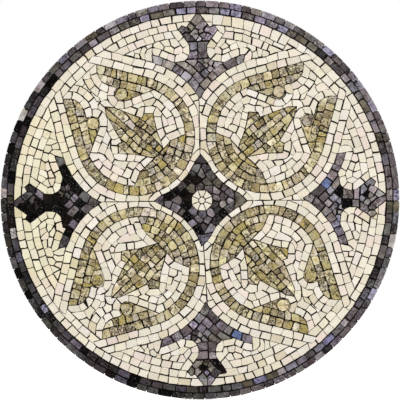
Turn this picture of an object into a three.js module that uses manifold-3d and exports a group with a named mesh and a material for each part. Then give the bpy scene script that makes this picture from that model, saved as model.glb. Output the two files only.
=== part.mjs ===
// Round marble mosaic panel: stones glued face up on a sheet of mesh, to be fixed to a wall or built in.
// Millimetres. It is drawn flat, X right and Y up, with heights along Z from the back of the mesh.
// The last lines stand it up: Z is up, the face looks along -Y, and the origin is the back's centre.
import * as THREE from "three";
import { mergeVertices } from "three/addons/utils/BufferGeometryUtils.js";
import Module from "manifold-3d";

const wasm = await Module();
wasm.setup();

// Panel, mesh, adhesive and stones
const panelDiameter = 610;
const meshThickness = 0.8;
const meshInset = 3;
const seatGap = 0.3;
const bedThickness = 1.2;
const stoneHeight = 7.7;
const joint = 0.9;

// Rows of stones: widths with one joint, and the mean length of a stone
const borderRow = 10;
const borderStone = 18;
const cupRow = 13.8;
const cupStone = 14.5;
const haloRow = 12;
const starRow = 9.4;

// How far a curved outline may stand off its straight steps, and how unevenly the mosaicist cuts
const roundness = 0.55;
const unevenness = 0.16;
const bellySteps = 6;

// How far a cut runs past what it cuts, how far a sharp corner may run out, and when two points are one
const overcut = 1;
const sharpestCorner = 0.35;
const samePoint = 0.01;
const fewestStones = 3;
const seeds = { cups: 7, outerRow: 11, innerRow: 23 };

// Four tulip cups: where each centre lies from the pattern's centre, its radius and which way it opens.
// The leaf of each is shifted and turned a little, as it was laid by hand.
const cups = [
  { name: "top_right", bearing: 46, reach: 142.5, radius: 90.5, facing: 45, leafShift: 1.3, leafTurn: -5 },
  { name: "top_left", bearing: 135.4, reach: 141, radius: 91, facing: 135.6, leafShift: -3.7, leafTurn: 4 },
  { name: "bottom_left", bearing: 227.2, reach: 138, radius: 91.5, facing: 225.6, leafShift: 3.6, leafTurn: -1 },
  { name: "bottom_right", bearing: 317.2, reach: 141.5, radius: 89.5, facing: 316.4, leafShift: -3.2, leafTurn: -5 },
];

// Upper half of a cup, from its centre, with +X towards its mouth
const lobe = { tip: [117.7, 37.3], belly: [99.8, 13.1], notch: [74.3, 32.6], knob: [59.6, 31.4] };
const knobRadius = 11.3;
const lobeSpring = 67.6;
const rootSpring = 134;
const root = { corner: [-44, 33.7], neck: [-45.5, 9.7] };
const leafSide = [[-16.8, 25], [1.8, 40], [12.3, 30.8], [9, 23.3], [53.8, 7.6], [63, 0]];
const wholeTip = 7;

// Four fleurons: bearing of the inner tip from the pattern's centre, and which way the head points
const fleurons = [
  { name: "right", bearing: 0.4, facing: 2, beside: [3, 0] },
  { name: "top", bearing: 91, facing: 90.8, beside: [0, 1] },
  { name: "left", bearing: 180.7, facing: 180.9, beside: [1, 2] },
  { name: "bottom", bearing: 273.6, facing: 270, beside: [2, 3] },
];
const fleuronHalf = [
  [-10, 0], [14, 46], [55.8, 38], [58.6, 21.4], [64, 15.3], [72, 12.4], [83, 12.6],
  [107, 30], [113, 24.6], [109.8, 18], [134, 0],
];
const fleuronSpine = [[20, 0], [100, 0]];
const armWidth = 11.4;
const armReach = 67;
const armLean = 0.22;
const armSpan = [-20, 120];

// Star and rosette in the middle
const starTip = 70.5;
const rosetteRadius = 16.5;
const buttonRadius = 4.9;
const petals = 8;

// Ground kept between the lobes' tips and the border, and how far the fleurons' tips run into the border
const rimRoom = 22.1;
const tipRun = 4;

// The drawing is as wide as its lobes and that ground, and is scaled to the space inside the border
const lobeReach = Math.max(...cups.map((cup) => Math.hypot(cup.reach + lobe.tip[0], lobe.tip[1])));
const drawingRadius = lobeReach + rimRoom;
const fleuronReach = drawingRadius + tipRun - fleuronHalf.at(-1)[0];
const patternRadius = panelDiameter / 2 - 2 * borderRow;
const scale = patternRadius / drawingRadius;
const patternCentre = new THREE.Vector2(1.2, -1.2).multiplyScalar(scale);
const rosetteShift = new THREE.Vector2(1.8, 0.6).multiplyScalar(scale);

const marble = {
  cream: { color: 0xf2e6cc, roughness: 0.5, metalness: 0 },
  olive: { color: 0xa3935c, roughness: 0.45, metalness: 0 },
  dark: { color: 0x565059, roughness: 0.4, metalness: 0 },
};
const meshFinish = { color: 0xe6e2d8, roughness: 0.85, metalness: 0 };

const bedBottom = meshThickness + seatGap;
const bedTop = bedBottom + bedThickness;
const face = bedTop + stoneHeight;
const panelRadius = panelDiameter / 2;

// Seeded random numbers from 0 to 1, so that every build cuts the same stones
function dice(seed) {
  let state = seed;
  return () => {
    state = (state * 1664525 + 1013904223) % 4294967296;
    return state / 4294967296;
  };
}

const radians = THREE.MathUtils.degToRad;

function direction(angle) {
  return new THREE.Vector2(Math.cos(angle), Math.sin(angle));
}

function onCircle(centre, radius, angle) {
  return direction(angle).multiplyScalar(radius).add(centre);
}

// Straight steps round part of a circle, as long as roundness lets them be
function arc(centre, radius, from, to) {
  const step = Math.sqrt(8 * roundness * radius);
  const steps = Math.max(2, Math.ceil((Math.abs(to - from) * radius) / step));
  return Array.from({ length: steps + 1 }, (_, i) => onCircle(centre, radius, from + ((to - from) * i) / steps));
}

function circle(centre, radius) {
  return arc(centre, radius, 0, 2 * Math.PI).slice(1);
}

// Angle on a circle where the tangent from an outside point touches, on the side turned anticlockwise
function tangentAngle(point, centre, radius) {
  const line = point.clone().sub(centre);
  return line.angle() + Math.acos(Math.min(1, radius / line.length()));
}

function drawn([x, y]) {
  return new THREE.Vector2(x, y).multiplyScalar(scale);
}

// A half outline and its mirror image below the X axis, as one closed outline
function bothHalves(half) {
  const mirrored = half.map((point) => new THREE.Vector2(point.x, -point.y)).reverse();
  return half.concat(mirrored).filter((point, i, all) => point.distanceTo(all.at(i - 1)) > samePoint);
}

// An outline moved outwards by a distance, with its corners kept
function grow(points, distance) {
  const turn = THREE.ShapeUtils.isClockWise(points) ? 1 : -1;
  return points.map((point, i) => {
    const before = point.clone().sub(points.at(i - 1)).normalize();
    const after = points[(i + 1) % points.length].clone().sub(point).normalize();
    const out = new THREE.Vector2(-before.y - after.y, before.x + after.x).normalize();
    const slant = Math.max(sharpestCorner, Math.abs(-out.x * before.y + out.y * before.x));
    return out.multiplyScalar((turn * distance) / slant).add(point);
  });
}

function placed(points, origin, angle) {
  return points.map((point) => point.clone().rotateAround(new THREE.Vector2(), angle).add(origin));
}

function solid(geometry) {
  geometry.deleteAttribute("normal");
  geometry.deleteAttribute("uv");
  const merged = mergeVertices(geometry);
  const vertProperties = merged.attributes.position.array;
  const triVerts = new Uint32Array(merged.index.array);
  return new wasm.Manifold(new wasm.Mesh({ numProp: 3, vertProperties, triVerts }));
}

function plate(points, bottom = bedBottom, top = face) {
  const geometry = new THREE.ExtrudeGeometry(new THREE.Shape(points), { depth: top - bottom, bevelEnabled: false });
  geometry.translate(0, 0, bottom);
  return solid(geometry);
}

function join(solids) {
  return solids.reduce((whole, piece) => whole.add(piece));
}

function cut(body, solids) {
  return solids.reduce((rest, piece) => rest.subtract(piece), body);
}

// A joint between two stones, whose sides taper until they meet on the adhesive
function groove(from, to) {
  const along = new THREE.Vector3(to.x - from.x, to.y - from.y, 0);
  const length = along.length();
  const up = new THREE.Vector3(0, 0, 1);
  const across = up.clone().cross(along.normalize());
  const height = stoneHeight + overcut;
  const half = (joint / 2 / stoneHeight) * height;
  const corners = [[0, 0], [half, height], [-half, height]].map((corner) => new THREE.Vector2(...corner));
  const section = new THREE.Shape(corners);
  const geometry = new THREE.ExtrudeGeometry(section, { depth: length, bevelEnabled: false });
  geometry.applyMatrix4(new THREE.Matrix4().makeBasis(across, up, along).setPosition(from.x, from.y, bedTop));
  return solid(geometry);
}

// Uneven places that part a length into stones of about the same size
function divide(length, stone, random) {
  const count = Math.max(fewestStones, Math.round(length / stone));
  return Array.from({ length: count }, (_, i) => {
    return ((i + unevenness * 2 * (random() - 0.5)) * length) / count;
  });
}

// Outer line of a cup: round its back, and straight on to the tips of its lobes
function cupLine(cup) {
  const tip = drawn(lobe.tip);
  const radius = cup.radius * scale;
  return { tip, radius, touch: tangentAngle(tip, new THREE.Vector2(), radius) };
}

function cupOutline(cup) {
  const { tip, radius, touch } = cup.line;
  const centre = new THREE.Vector2();
  const knob = drawn(lobe.knob);
  const notch = drawn(lobe.notch);
  const inner = radius - cupRow;
  const leave = onCircle(centre, inner, radians(lobeSpring));
  const knobSize = knobRadius * scale;
  const knobStart = notch.clone().sub(knob).angle();
  const knobEnd = tangentAngle(leave, knob, knobSize) - 2 * Math.PI;
  const belly = new THREE.QuadraticBezierCurve(tip, drawn(lobe.belly), notch);
  const upper = [
    ...arc(centre, radius, Math.PI, touch),
    ...belly.getPoints(bellySteps),
    ...arc(knob, knobSize, knobStart, knobEnd),
    ...arc(centre, inner, radians(lobeSpring), radians(rootSpring)),
    drawn(root.corner),
    drawn(root.neck),
  ];
  return placed(bothHalves(upper), cup.centre, cup.angle);
}

// The leaf stands on the root's neck, as wide as it, and clears it by a joint however it is turned
function leafOutline(cup) {
  const shift = new THREE.Vector2(0, cup.leafShift * scale);
  const turn = radians(cup.leafTurn);
  const neck = drawn(root.neck);
  const foot = new THREE.Vector2(neck.x + joint + neck.y * Math.abs(Math.sin(turn)), neck.y);
  const leaf = placed(bothHalves([foot, ...leafSide.map(drawn)]), shift, turn);
  return placed(leaf, cup.centre, cup.angle);
}

for (const cup of cups) {
  cup.angle = radians(cup.facing);
  cup.centre = onCircle(patternCentre, cup.reach * scale, radians(cup.bearing));
  cup.line = cupLine(cup);
}

for (const fleuron of fleurons) {
  fleuron.angle = radians(fleuron.facing);
  fleuron.centre = onCircle(patternCentre, fleuronReach * scale, radians(fleuron.bearing));
}

function diamond(reach) {
  const corners = [0, 1, 2, 3].map((quarter) => direction((quarter * Math.PI) / 2).multiplyScalar(reach));
  return placed(corners, patternCentre, 0);
}

function cupDisc(cup, extra) {
  return plate(circle(cup.centre, cup.line.radius + extra));
}

// The star's sides follow the rows round the four cups
function starForm(extra) {
  const discs = cups.map((cup) => cupDisc(cup, starRow - extra));
  return cut(plate(diamond(starTip * scale + extra * Math.SQRT2)), discs);
}

// A fleuron: a head on a neck, and two arms that follow the second row round the cups beside it
function fleuronForm(fleuron, extra) {
  const beside = fleuron.beside.map((i) => cups[i]);
  const body = plate(grow(placed(bothHalves(fleuronHalf.map(drawn)), fleuron.centre, fleuron.angle), extra));
  const arms = beside.map((cup) => cupDisc(cup, 2 * haloRow + armWidth + extra));
  const near = armReach * (1 - armLean);
  const far = armReach * (1 + armLean);
  const [start, end] = armSpan;
  const reach = [[start, near], [end, far], [end, -far], [start, -near]].map(drawn);
  const span = plate(grow(placed(reach, fleuron.centre, fleuron.angle), extra));
  const between = plate(grow(outside(fleuron), extra));
  const whole = body.add(join(arms).intersect(span).intersect(between));
  const room = plate(circle(new THREE.Vector2(), patternRadius - joint / 2 + extra));
  const halos = beside.map((cup) => cupDisc(cup, 2 * haloRow - extra));
  return cut(whole, halos).intersect(room);
}

// The space between the two cups beside a fleuron, from the line between their centres outwards
function outside(fleuron) {
  const [first, second] = fleuron.beside.map((i) => cups[i].centre);
  const out = direction(fleuron.angle).multiplyScalar(patternRadius);
  return [first, second, second.clone().add(out), first.clone().add(out)];
}

// The quarter of the panel between two fleurons, parted at their inner tips and along their middles
function quarter(cup, [first, second]) {
  const ends = [first, second].map((fleuron) => onCircle(fleuron.centre, panelDiameter, fleuron.angle));
  const corner = onCircle(patternCentre, panelDiameter * 2, cup.angle);
  const outline = [patternCentre, first.centre, ends[0], corner, ends[1], second.centre];
  return plate(grow(outline, -joint / 2));
}

// Joints across the stones of a cup's row, where it runs round between the lobes
function rowJoints(cup, random) {
  const { radius, touch } = cup.line;
  const inner = radius - cupRow + joint / 2;
  return divide((2 * Math.PI - 2 * touch) * radius, cupStone, random).slice(1).map((distance) => {
    const angle = touch + distance / radius;
    const ends = [inner, radius + overcut].map((reach) => direction(angle).multiplyScalar(reach));
    return groove(...placed(ends, cup.centre, cup.angle));
  });
}

// Joint between the cup's row and its root
function rootJoint(cup) {
  const middle = cup.line.radius - cupRow;
  const side = (radius) => arc(new THREE.Vector2(), radius, radians(rootSpring), radians(360 - rootSpring));
  const outline = [...side(middle + joint / 2), ...side(middle - joint / 2).reverse()];
  return plate(placed(outline, cup.centre, cup.angle), bedTop, face + overcut);
}

// A ring of straight-sided stones
function borderRing(outer, seed) {
  const inner = outer - borderRow + joint;
  const length = 2 * Math.PI * outer;
  const angles = divide(length, borderStone, dice(seed)).map((distance) => (distance / length) * 2 * Math.PI);
  const corners = (radius) => angles.map((angle) => onCircle(new THREE.Vector2(), radius, angle));
  const starts = corners(inner - overcut);
  const joints = corners(outer + overcut).map((end, i) => groove(starts[i], end));
  return plate(corners(outer)).subtract(plate(corners(inner))).subtract(join(joints));
}

function cupSolid(cup, random) {
  return cut(plate(cupOutline(cup)), [join(rowJoints(cup, random)), rootJoint(cup)]);
}

// A leaf with the joint along its middle, from its foot to the one stone of its tip
function leafSolid(cup) {
  const outline = leafOutline(cup);
  const foot = outline[0].clone().add(outline.at(-1)).multiplyScalar(0.5);
  const rib = outline[leafSide.length].clone().sub(foot);
  const ends = [-overcut, rib.length() - wholeTip].map((reach) => rib.clone().setLength(reach).add(foot));
  return plate(outline).subtract(groove(...ends));
}

function petalOutline(index) {
  const centre = patternCentre.clone().add(rosetteShift);
  const half = Math.PI / petals;
  const middle = 2 * half * index;
  const outline = [
    ...arc(centre, rosetteRadius * scale + joint / 2, middle - half, middle + half),
    ...arc(centre, buttonRadius * scale + joint / 2, middle + half, middle - half),
  ];
  return grow(outline, -joint / 2);
}

function meshOf(name, made, finish) {
  const { numProp, vertProperties, triVerts } = made.getMesh();
  const geometry = new THREE.BufferGeometry();
  const positions = new Float32Array((vertProperties.length / numProp) * 3);
  for (let i = 0; i < positions.length / 3; i += 1) {
    positions.set(vertProperties.subarray(i * numProp, i * numProp + 3), i * 3);
  }
  geometry.setAttribute("position", new THREE.BufferAttribute(positions, 3));
  geometry.setIndex(new THREE.BufferAttribute(new Uint32Array(triVerts), 1));
  geometry.computeVertexNormals();
  const mesh = new THREE.Mesh(geometry, new THREE.MeshStandardMaterial(finish));
  mesh.name = name;
  return mesh;
}

const panel = new THREE.Group();
const random = dice(seeds.cups);
const middle = patternCentre.clone().add(rosetteShift);
const backing = plate(circle(new THREE.Vector2(), panelRadius - meshInset), 0, meshThickness);

panel.add(meshOf("mesh_backing", backing, meshFinish));
panel.add(meshOf("border_outer_row", borderRing(panelRadius, seeds.outerRow), marble.dark));
panel.add(meshOf("border_inner_row", borderRing(panelRadius - borderRow, seeds.innerRow), marble.dark));

const eye = plate(circle(middle, rosetteRadius * scale + joint));
panel.add(meshOf("centre_star", starForm(0).subtract(eye), marble.dark));
panel.add(meshOf("rosette_button", plate(circle(middle, buttonRadius * scale)), marble.cream));
for (let i = 0; i < petals; i += 1) {
  panel.add(meshOf(`rosette_petal_${i + 1}`, plate(petalOutline(i)), marble.cream));
}

for (const fleuron of fleurons) {
  const spine = groove(...placed(fleuronSpine.map(drawn), fleuron.centre, fleuron.angle));
  panel.add(meshOf(`fleuron_${fleuron.name}`, fleuronForm(fleuron, 0).subtract(spine), marble.dark));
}

cups.forEach((cup, index) => {
  const beside = [fleurons[index], fleurons[(index + 1) % 4]];
  const sector = quarter(cup, beside);
  const room = plate(circle(new THREE.Vector2(), patternRadius - joint / 2)).intersect(sector);
  const taken = [
    starForm(joint),
    plate(grow(cupOutline(cup), joint)),
    plate(grow(leafOutline(cup), joint)),
    ...beside.map((fleuron) => fleuronForm(fleuron, joint)),
  ];
  panel.add(meshOf(`tulip_cup_${cup.name}`, cupSolid(cup, random), marble.olive));
  panel.add(meshOf(`tulip_leaf_${cup.name}`, leafSolid(cup), marble.olive));
  panel.add(meshOf(`ground_${cup.name}`, cut(room, taken), marble.cream));
});

panel.rotation.x = Math.PI / 2;

export default panel;
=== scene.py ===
import heapq
import math
import random

import bmesh
import bpy
import numpy as np
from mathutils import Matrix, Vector, kdtree, noise


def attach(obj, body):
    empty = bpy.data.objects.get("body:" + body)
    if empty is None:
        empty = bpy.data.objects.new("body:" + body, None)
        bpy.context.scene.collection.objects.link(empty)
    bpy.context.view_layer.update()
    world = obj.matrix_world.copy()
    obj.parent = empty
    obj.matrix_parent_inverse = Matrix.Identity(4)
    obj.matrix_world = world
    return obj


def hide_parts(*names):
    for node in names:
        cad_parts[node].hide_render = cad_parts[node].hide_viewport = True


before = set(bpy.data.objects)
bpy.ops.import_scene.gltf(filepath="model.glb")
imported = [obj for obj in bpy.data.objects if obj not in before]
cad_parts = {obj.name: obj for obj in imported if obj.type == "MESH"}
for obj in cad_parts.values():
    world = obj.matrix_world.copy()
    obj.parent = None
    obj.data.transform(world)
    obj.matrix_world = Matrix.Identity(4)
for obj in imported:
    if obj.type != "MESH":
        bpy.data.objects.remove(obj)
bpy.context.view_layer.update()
print("frame loaded")

mm = 0.001
quarters = ["top_right", "top_left", "bottom_left", "bottom_right"]
sides = ["right", "top", "left", "bottom"]

# The stones are laid out on a grid of small cells, as a mosaicist lays rows along the lines of a drawing.
# Lengths here are millimetres, in the panel's own plane: across and up.
layout = {
    "cell": 0.6,
    "margin": 2.0,          # empty ground round each field that is worked on
    "wave": 17.0,           # how far apart the rows' sways are
    "still": 2.0,           # rows don't sway nearer than this to a line of the drawing
    "spine": 0.8,           # half the thickness of a row's middle line, in cells
    "shortRow": 0.3,        # a row shorter than this share of a stone is left to its neighbours
    "rowReach": 1.3,        # how far a stone reaches from its row's middle line, in stones
    "stripReach": 20.0,
    "smallest": 44.0,       # square millimetres, a smaller scrap goes to the stone beside it
    "crowding": 6.0,        # the higher, the less a scrap keeps away from large stones
    "largest": 1.75,        # a stone this many times the usual size is split
    "longest": (2.6, 23),   # so is one that is this many times as long as wide, and this long
    "offMiddle": 0.06,      # how far from its middle such a stone is cut, as a share of its length
    "straight": 0.62,       # how far a side may bow before it gets a corner
    "shortSide": 2.2,       # a shorter side is dropped
    "cornerReach": 2.2,     # how far a corner may move to where its two sides meet
    "nearlyConvex": 1.07,
    "parallel": 0.26,       # two sides that meet at less than this sine have no corner worked out
    "ridge": 0.55,          # how much shallower than its neighbours a cell of a middle line may be, in cells
    "arcSteps": 4,          # straight steps along the outer side of a border stone
}
cell = layout["cell"]
# small stones in open patches: how uneven the order is they are laid in, how much room each one takes, how
# often they are evened out, and how far one may reach then
loose = {"unevenness": 0.25, "room": 0.72, "turns": 5, "reach": 1.5}


def area(loop):
    following = np.roll(loop, -1, axis=0)
    return 0.5 * float(np.sum(loop[:, 0] * following[:, 1] - loop[:, 1] * following[:, 0]))


def closedLoops(following):
    # joins edges, given as each start's ends, into closed loops
    loops = []
    while any(following.values()):
        here = next(key for key, ends in following.items() if ends)
        loop = []
        while following.get(here):
            loop.append(here)
            here = following[here].pop()
        loops.append(np.array(loop, float))
    return loops


def nodeLoops(name):
    # the outlines of a CAD node's back, the largest first
    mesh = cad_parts[name].data
    fine = 100              # parts of a millimetre that corners are matched to
    back = max(v.co.y for v in mesh.vertices) - mm / fine
    following = {}
    for face in mesh.polygons:
        corners = [mesh.vertices[i].co for i in face.vertices]
        if min(c.y for c in corners) < back:
            continue
        keys = [(round(c.x / mm * fine), round(c.z / mm * fine)) for c in corners]
        for start, end in zip(keys, keys[1:] + keys[:1]):
            if start in following.get(end, ()):
                following[end].remove(start)
            else:
                following.setdefault(start, []).append(end)
    return sorted((loop / fine for loop in closedLoops(following)), key=lambda loop: -abs(area(loop)))


def hullOf(points):
    ordered = sorted(map(tuple, points))

    def half(line):
        kept = []
        for p in line:
            while len(kept) > 1:
                a, b = kept[-2:]
                if (b[0] - a[0]) * (p[1] - a[1]) - (b[1] - a[1]) * (p[0] - a[0]) > 0:
                    break
                kept.pop()
            kept.append(p)
        return kept[:-1]

    return np.array(half(ordered) + half(ordered[::-1]))


class Field:
    # a window of cells round one field of the pattern

    def __init__(self, loops):
        points = np.concatenate(loops)
        self.low = points.min(0) - layout["margin"]
        self.count = np.ceil((points.max(0) + layout["margin"] - self.low) / cell).astype(int)
        self.x, self.z = [low + (np.arange(count) + 0.5) * cell for low, count in zip(self.low, self.count)]
        self.gridX, self.gridZ = np.meshgrid(self.x, self.z)
        self.mask = self.fill(loops)

    def fill(self, loops):
        crossings = np.zeros((self.count[1], self.count[0] + 1), np.int32)
        for loop in loops:
            for (x0, z0), (x1, z1) in zip(loop, np.roll(loop, -1, axis=0)):
                low, high = sorted((z0, z1))
                rows = np.nonzero((self.z >= low) & (self.z < high))[0]
                if not len(rows):
                    continue
                at = x0 + (self.z[rows] - z0) * (x1 - x0) / (z1 - z0)
                columns = np.clip(np.ceil((at - self.low[0]) / cell - 0.5).astype(int), 0, self.count[0])
                np.add.at(crossings, (rows, columns), 1)
        return np.cumsum(crossings, axis=1)[:, :-1] % 2 == 1

    def beyond(self, *names):
        # distance from the outlines of CAD nodes
        return distanceTo(self.fill([nodeLoops(name)[0] for name in names]))

    def holds(self, point):
        column, row = ((np.asarray(point) - self.low) / cell).astype(int)
        inside = 0 <= row < self.count[1] and 0 <= column < self.count[0]
        return bool(inside and self.mask[row, column])

    def waves(self, seed):
        # a smooth random height between -1 and 1
        shape = self.count[::-1]
        coarse = np.random.default_rng(seed).uniform(-1, 1, [int(n * cell / layout["wave"]) + 3 for n in shape])
        for axis, length in enumerate(shape):
            at = np.arange(length) * cell / layout["wave"]
            whole = at.astype(int)
            share = (at - whole) ** 2 * (3 - 2 * (at - whole))
            share = share[:, None] if axis == 0 else share
            coarse = np.take(coarse, whole, axis) * (1 - share) + np.take(coarse, whole + 1, axis) * share
        return coarse

    def radius(self, centre=(0.0, 0.0)):
        return np.hypot(self.gridX - centre[0], self.gridZ - centre[1])


def distanceTo(mask, reach=60.0):
    # exact distance in millimetres from each cell to the nearest cell of the mask
    steps = int(reach / cell)
    index = np.arange(mask.shape[0])[:, None]
    far = 10 ** 6
    before = np.maximum.accumulate(np.where(mask, index, -far), axis=0)
    after = np.minimum.accumulate(np.where(mask, index, far)[::-1], axis=0)[::-1]
    column = np.minimum(np.minimum(index - before, after - index), 4 * steps).astype(np.float32) ** 2
    best = column.copy()
    for shift in range(1, min(steps, mask.shape[1] - 1) + 1):
        square = np.float32(shift * shift)
        np.minimum(best[:, shift:], column[:, :-shift] + square, out=best[:, shift:])
        np.minimum(best[:, :-shift], column[:, shift:] + square, out=best[:, :-shift])
    return np.sqrt(best) * cell - cell / 2


def patches(labels):
    # gives each connected patch of equal labels a number of its own, 0 stays 0
    parent = [0]
    numbers = np.zeros_like(labels)
    previous = []

    def root(i):
        while parent[i] != i:
            parent[i] = parent[parent[i]]
            i = parent[i]
        return i

    for row, line in enumerate(labels):
        edges = [0, *(np.nonzero(np.diff(line))[0] + 1), len(line)]
        current, at = [], 0
        for start, end in zip(edges, edges[1:]):
            value = line[start]
            if value == 0:
                continue
            number = len(parent)
            parent.append(number)
            while at < len(previous) and previous[at][1] <= start:
                at += 1
            for first, _, other, above in previous[at:]:
                if first >= end:
                    break
                if other == value:
                    parent[root(above)] = root(number)
            current.append((start, end, value, number))
            numbers[row, start:end] = number
        previous = current
    roots = np.array([root(i) for i in range(len(parent))])
    return np.unique(roots[numbers], return_inverse=True)[1].reshape(labels.shape)


def cellsOf(labels):
    # the cells of each label above 0, as rows and columns
    rows, columns = np.nonzero(labels)
    order = np.argsort(labels[rows, columns], kind="stable")
    rows, columns = rows[order], columns[order]
    cuts = np.nonzero(np.diff(labels[rows, columns]))[0] + 1
    return list(zip(np.split(rows, cuts), np.split(columns, cuts)))


def walk(start, points):
    # distance in cells from a start along a thin line of cells
    reached = {}
    queue = [(0.0, start)]
    while queue:
        distance, here = heapq.heappop(queue)
        if here in reached:
            continue
        reached[here] = distance
        for r in (-1, 0, 1):
            for c in (-1, 0, 1):
                there = (here[0] + r, here[1] + c)
                if there in points and there not in reached:
                    heapq.heappush(queue, (distance + math.hypot(r, c), there))
    return reached


def cutRow(band, spine, stone, jitter, dice, labels):
    # cuts a band of cells across its spine into stones of about one length
    points = set(zip(*np.nonzero(spine & band)))
    marks = []
    number = int(labels.max())
    while points:
        end = max(walk(min(points), points).items(), key=lambda item: item[1])[0]
        reached = walk(end, points)
        points -= reached.keys()
        total = max(reached.values()) * cell
        if total < stone * layout["shortRow"]:
            continue
        count = max(1, round(total / stone))
        breaks = np.array([(i + jitter * (dice.random() - 0.5)) * total / count for i in range(1, count)])
        for place, distance in reached.items():
            marks.append((place, number + 1 + int(np.searchsorted(breaks, distance * cell))))
        number += count
    tree = kdtree.KDTree(len(marks))
    for i, (place, _) in enumerate(marks):
        tree.insert((place[0], place[1], 0), i)
    tree.balance()
    for row, column in np.argwhere(band).tolist() if marks else ():
        _, i, distance = tree.find((row, column, 0))
        if distance < layout["rowReach"] * stone / cell:
            labels[row, column] = marks[i][1]


def ridge(depth, mask):
    # the middle line of a strip: cells deeper than nearly all of their neighbours
    padded = np.pad(np.where(mask, depth, 0), 1)
    height, width = depth.shape
    highest = np.max([padded[r:r + height, c:c + width] for r in range(3) for c in range(3)], axis=0)
    return mask & (depth > highest - layout["ridge"] * cell)


def neighbours(labels):
    # how many cell sides each label shares with each other one
    pairs = {}
    many = 1000000
    for a, b in ((labels[:, 1:], labels[:, :-1]), (labels[1:], labels[:-1])):
        differ = (a != b) & (a > 0) & (b > 0)
        low, high = [side(a[differ], b[differ]).astype(np.int64) for side in (np.minimum, np.maximum)]
        keys, counts = np.unique(low * many + high, return_counts=True)
        for key, count in zip(keys.tolist(), counts.tolist()):
            one, other = divmod(key, many)
            for i, j in ((one, other), (other, one)):
                around = pairs.setdefault(i, {})
                around[j] = around.get(j, 0) + count
    return pairs


def mergeScraps(labels, smallest):
    # a scrap joins the neighbour that it shares most of its edge with
    labels = patches(labels)
    sizes = dict(enumerate(np.bincount(labels.ravel()).tolist()))
    pairs = neighbours(labels)
    owner = {}
    limit = smallest / cell ** 2
    queue = [(size, i) for i, size in sizes.items() if i and size < limit]
    heapq.heapify(queue)
    while queue:
        size, scrap = heapq.heappop(queue)
        if scrap in owner or sizes[scrap] != size or size >= limit:
            continue
        around = {i: n for i, n in pairs.get(scrap, {}).items() if i not in owner and i != scrap}
        if not around:
            continue
        target = max(around, key=lambda i: around[i] / (1 + sizes[i] / limit / layout["crowding"]))
        owner[scrap] = target
        sizes[target] += size
        for other, count in around.items():
            pairs[other].pop(scrap, None)
            if other != target:
                pairs[other][target] = pairs[other].get(target, 0) + count
                pairs[target][other] = pairs[target].get(other, 0) + count
        if sizes[target] < limit:
            heapq.heappush(queue, (sizes[target], target))
    table = np.arange(labels.max() + 1)
    for i in table.tolist():
        last = i
        while last in owner:
            last = owner[last]
        table[i] = last
    return table[labels]


def splitLarge(labels, usual, dice):
    # a stone that came out too large is cut across its longer way
    groups = cellsOf(labels)
    number = int(labels.max())
    while groups:
        r, c = groups.pop()
        spread = np.cov(np.stack([r, c])) if len(r) > 8 else np.eye(2)
        values, vectors = np.linalg.eigh(spread)
        wide, long = [math.sqrt(12 * max(value, 0.01)) * cell for value in values]
        slim = long > layout["longest"][0] * wide and long > layout["longest"][1]
        if len(r) * cell ** 2 < layout["largest"] * usual and not slim:
            continue
        along = (r - r.mean()) * vectors[0, 1] + (c - c.mean()) * vectors[1, 1]
        side = along > dice.uniform(-layout["offMiddle"], layout["offMiddle"]) * long / cell
        if side.all() or not side.any():
            continue
        number += 1
        labels[r[side], c[side]] = number
        groups += [(r[side], c[side]), (r[~side], c[~side])]
    return labels


def scatter(mask, depth, fill, dice, labels):
    # fills an open patch with stones that lean on the lines nearest to them, evened out in a few turns
    rows, columns = np.nonzero(mask)
    if not len(rows):
        return
    slopes = np.gradient(depth)
    wide, long = fill[0] / cell, fill[1] / cell
    level = depth[rows, columns] / fill[0]
    uneven = np.array([dice.random() for _ in rows])
    key = np.floor(level) + np.abs(level % 1 - 0.5) + loose["unevenness"] * uneven

    def window(place, reach):
        # the cells round a place, and how far off they are for a stone that leans as the lines there do
        row, column = int(place[0]), int(place[1])
        r0, c0 = max(0, row - reach), max(0, column - reach)
        view = (slice(r0, row + reach + 1), slice(c0, column + reach + 1))
        slope = np.array([side[row, column] for side in slopes])
        slope = slope / (np.hypot(*slope) + 1e-6)
        pr, pc = np.mgrid[r0:r0 + mask[view].shape[0], c0:c0 + mask[view].shape[1]]
        across = (pr - place[0]) * slope[0] + (pc - place[1]) * slope[1]
        along = -(pr - place[0]) * slope[1] + (pc - place[1]) * slope[0]
        return view, (np.abs(across) / wide) ** 3 + (np.abs(along) / long) ** 3

    unused = mask.copy()
    seeds = []
    for i in np.argsort(key, kind="stable"):
        if unused[rows[i], columns[i]]:
            seeds.append([float(rows[i]), float(columns[i])])
            view, value = window(seeds[-1], int(long))
            unused[view][value < loose["room"]] = False
    for _ in range(loose["turns"]):
        best = np.full(mask.shape, 1e9, np.float32)
        found = np.full(mask.shape, -1, int)
        for number, place in enumerate(seeds):
            view, value = window(place, int(loose["reach"] * long))
            nearer = (value < best[view]) & mask[view]
            best[view][nearer] = value[nearer]
            found[view][nearer] = number
        good = found >= 0
        count = np.bincount(found[good], minlength=len(seeds))
        sums = [np.bincount(found[good], line, minlength=len(seeds)) for line in np.nonzero(good)]
        seeds = [[total[i] / count[i] for total in sums] for i in range(len(seeds)) if count[i] > 0]
    labels[good] = found[good] + 1 + labels.max()


# each side of a cell: the step to the cell beyond it, and the side's start and end
cellSides = [((-1, 0), (0, 0), (0, 1)), ((0, 1), (0, 1), (1, 1)),
             ((1, 0), (1, 1), (1, 0)), ((0, -1), (1, 0), (0, 0))]


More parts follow.
